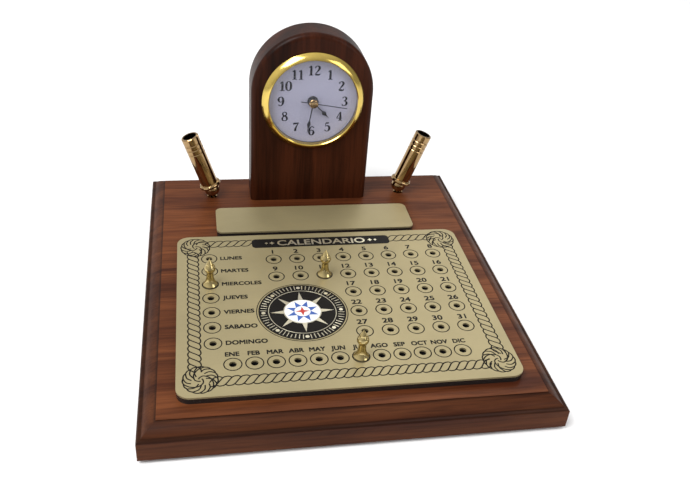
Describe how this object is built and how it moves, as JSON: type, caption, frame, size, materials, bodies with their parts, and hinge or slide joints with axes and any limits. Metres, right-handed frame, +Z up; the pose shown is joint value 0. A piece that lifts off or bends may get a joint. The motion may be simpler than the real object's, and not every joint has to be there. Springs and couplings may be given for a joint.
{
  "type": "desk clock with calendar",
  "caption": "Desk clock in an arched wooden block on a moulded base, with a brass peg calendar, a blank brass plate and swivelling pen funnels.",
  "frame": {"origin": "middle of the footprint, on the surface that the feet stand on", "axes": "+X right, +Y back and +Z up, as the owner sees the clock"},
  "size_m": [0.21, 0.244, 0.1335],
  "materials": {
    "base_wood": "satin varnish",
    "block_wood": "satin varnish",
    "satin_brass": "satin, brushed lightly",
    "polished_brass": "polished",
    "black_backing": "gloss",
    "felt": "felt",
    "steel": "plain",
    "crystal": "clear",
    "dial_white": "satin",
    "hand_black": "satin",
    "black_plastic": "fine texture",
    "rubber": "matt",
    "gear_plastic": "moulded",
    "magnet": "dull grey",
    "bobbin_plastic": "moulded",
    "copper_wire": "enamelled copper",
    "circuit_green": "solder mask",
    "chip_black": "moulded",
    "cell_steel": "polished",
    "contact_brass": "spring metal"
  },
  "bodies": {
    "base": {"base_board": "base_wood", "felt_feet": "felt", "calendar_backing": "black_backing", "calendar_plate": "satin_brass", "dedication_backing": "black_backing", "dedication_plate": "satin_brass", "clock_block": "block_wood", "block_screws": "steel"},
    "left_swivel": {"left_ball_stud": "polished_brass", "left_stud_nut": "polished_brass"},
    "left_funnel": {"left_pen_funnel": "polished_brass"},
    "right_swivel": {"right_ball_stud": "polished_brass", "right_stud_nut": "polished_brass"},
    "right_funnel": {"right_pen_funnel": "polished_brass"},
    "day_peg": {"day_peg": "polished_brass"},
    "date_peg": {"date_peg": "polished_brass"},
    "month_peg": {"month_peg": "polished_brass"},
    "clock_insert": {"insert_bezel": "polished_brass", "crystal": "crystal", "dial": "dial_white", "insert_case": "black_plastic", "case_gasket": "rubber", "front_plate": "black_plastic", "movement_cover": "black_plastic", "movement_screws": "steel", "stator": "steel", "coil_bobbin": "bobbin_plastic", "coil_winding": "copper_wire", "circuit_board": "circuit_green", "circuit_chip": "chip_black", "quartz_can": "cell_steel", "button_cell": "cell_steel", "leaf_contact": "contact_brass", "rim_contact": "contact_brass"},
    "seconds": {"second_wheel": "gear_plastic", "second_hand": "hand_black", "hand_cap": "polished_brass"},
    "rotor": {"rotor_pinion": "gear_plastic", "rotor_magnet": "magnet"},
    "drive_wheel": {"drive_wheel": "gear_plastic"},
    "third_wheel": {"third_wheel": "gear_plastic"},
    "centre_wheel": {"centre_wheel": "gear_plastic"},
    "minutes": {"cannon_pinion": "steel", "minute_hand": "hand_black"},
    "hours": {"hour_wheel": "gear_plastic", "hour_hand": "hand_black"},
    "minute_wheel": {"minute_wheel": "gear_plastic"},
    "setting_knob": {"setting_knob": "black_plastic"},
    "battery_cap": {"battery_cap": "black_plastic"}
  },
  "joints": [
    {"name": "left_swivel_turn", "type": "hinge", "parent": "base", "child": "left_swivel", "pos_m": [-0.0645, 0.0907, 0.0239], "axis": [0, 0, 1], "range_deg": [-75, 75]},
    {"name": "left_funnel_tilt", "type": "hinge", "parent": "left_swivel", "child": "left_funnel", "pos_m": [-0.0645, 0.0907, 0.0239], "axis": [0, -1, 0], "range_deg": [-45, 8]},
    {"name": "right_swivel_turn", "type": "hinge", "parent": "base", "child": "right_swivel", "pos_m": [0.0645, 0.0907, 0.0239], "axis": [0, 0, 1], "range_deg": [-75, 75]},
    {"name": "right_funnel_tilt", "type": "hinge", "parent": "right_swivel", "child": "right_funnel", "pos_m": [0.0645, 0.0907, 0.0239], "axis": [0, 1, 0], "range_deg": [-45, 8]},
    {"name": "day_peg_lift", "type": "slide", "parent": "base", "child": "day_peg", "axis": [0, 0, 1], "range_m": [0, 0.02]},
    {"name": "date_peg_lift", "type": "slide", "parent": "base", "child": "date_peg", "axis": [0, 0, 1], "range_m": [0, 0.02]},
    {"name": "month_peg_lift", "type": "slide", "parent": "base", "child": "month_peg", "axis": [0, 0, 1], "range_m": [0, 0.02]},
    {"name": "insert_pull", "type": "slide", "parent": "base", "child": "clock_insert", "axis": [0, -1, 0], "range_m": [0, 0.02]},
    {"name": "second_hand_turn", "type": "hinge", "parent": "clock_insert", "child": "seconds", "pos_m": [0, 0.0828, 0.0895], "axis": [0, 1, 0], "continuous": true},
    {"name": "rotor_turn", "type": "hinge", "parent": "clock_insert", "child": "rotor", "pos_m": [0.00827, 0.0828, 0.09745], "axis": [0, 1, 0], "continuous": true},
    {"name": "drive_wheel_turn", "type": "hinge", "parent": "clock_insert", "child": "drive_wheel", "pos_m": [0.00709, 0.0828, 0.09075], "axis": [0, 1, 0], "continuous": true},
    {"name": "third_wheel_turn", "type": "hinge", "parent": "clock_insert", "child": "third_wheel", "pos_m": [-0.00604, 0.0828, 0.09298], "axis": [0, 1, 0], "continuous": true},
    {"name": "centre_wheel_turn", "type": "hinge", "parent": "clock_insert", "child": "centre_wheel", "pos_m": [0, 0.0828, 0.0895], "axis": [0, 1, 0], "continuous": true},
    {"name": "minute_hand_turn", "type": "hinge", "parent": "clock_insert", "child": "minutes", "pos_m": [0, 0.0828, 0.0895], "axis": [0, 1, 0], "continuous": true},
    {"name": "hour_hand_turn", "type": "hinge", "parent": "clock_insert", "child": "hours", "pos_m": [0, 0.0828, 0.0895], "axis": [0, 1, 0], "continuous": true},
    {"name": "minute_wheel_turn", "type": "hinge", "parent": "clock_insert", "child": "minute_wheel", "pos_m": [0, 0.0828, 0.0835], "axis": [0, 1, 0], "continuous": true},
    {"name": "setting_knob_turn", "type": "hinge", "parent": "clock_insert", "child": "setting_knob", "pos_m": [-0.00585, 0.0828, 0.08013], "axis": [0, 1, 0], "continuous": true},
    {"name": "battery_cap_turn", "type": "hinge", "parent": "clock_insert", "child": "battery_cap", "pos_m": [0.014, 0.0828, 0.077], "axis": [0, -1, 0], "range_deg": [0, 45]}
  ],
  "couplings": [
    {"joint": "rotor_turn", "follows": "second_hand_turn", "ratio": 30},
    {"joint": "drive_wheel_turn", "follows": "second_hand_turn", "ratio": -4},
    {"joint": "third_wheel_turn", "follows": "second_hand_turn", "ratio": -0.13333},
    {"joint": "centre_wheel_turn", "follows": "second_hand_turn", "ratio": 0.016667},
    {"joint": "hour_hand_turn", "follows": "minute_hand_turn", "ratio": 0.083333},
    {"joint": "minute_wheel_turn", "follows": "minute_hand_turn", "ratio": -0.33333},
    {"joint": "setting_knob_turn", "follows": "minute_hand_turn", "ratio": 0.66667}
  ]
}
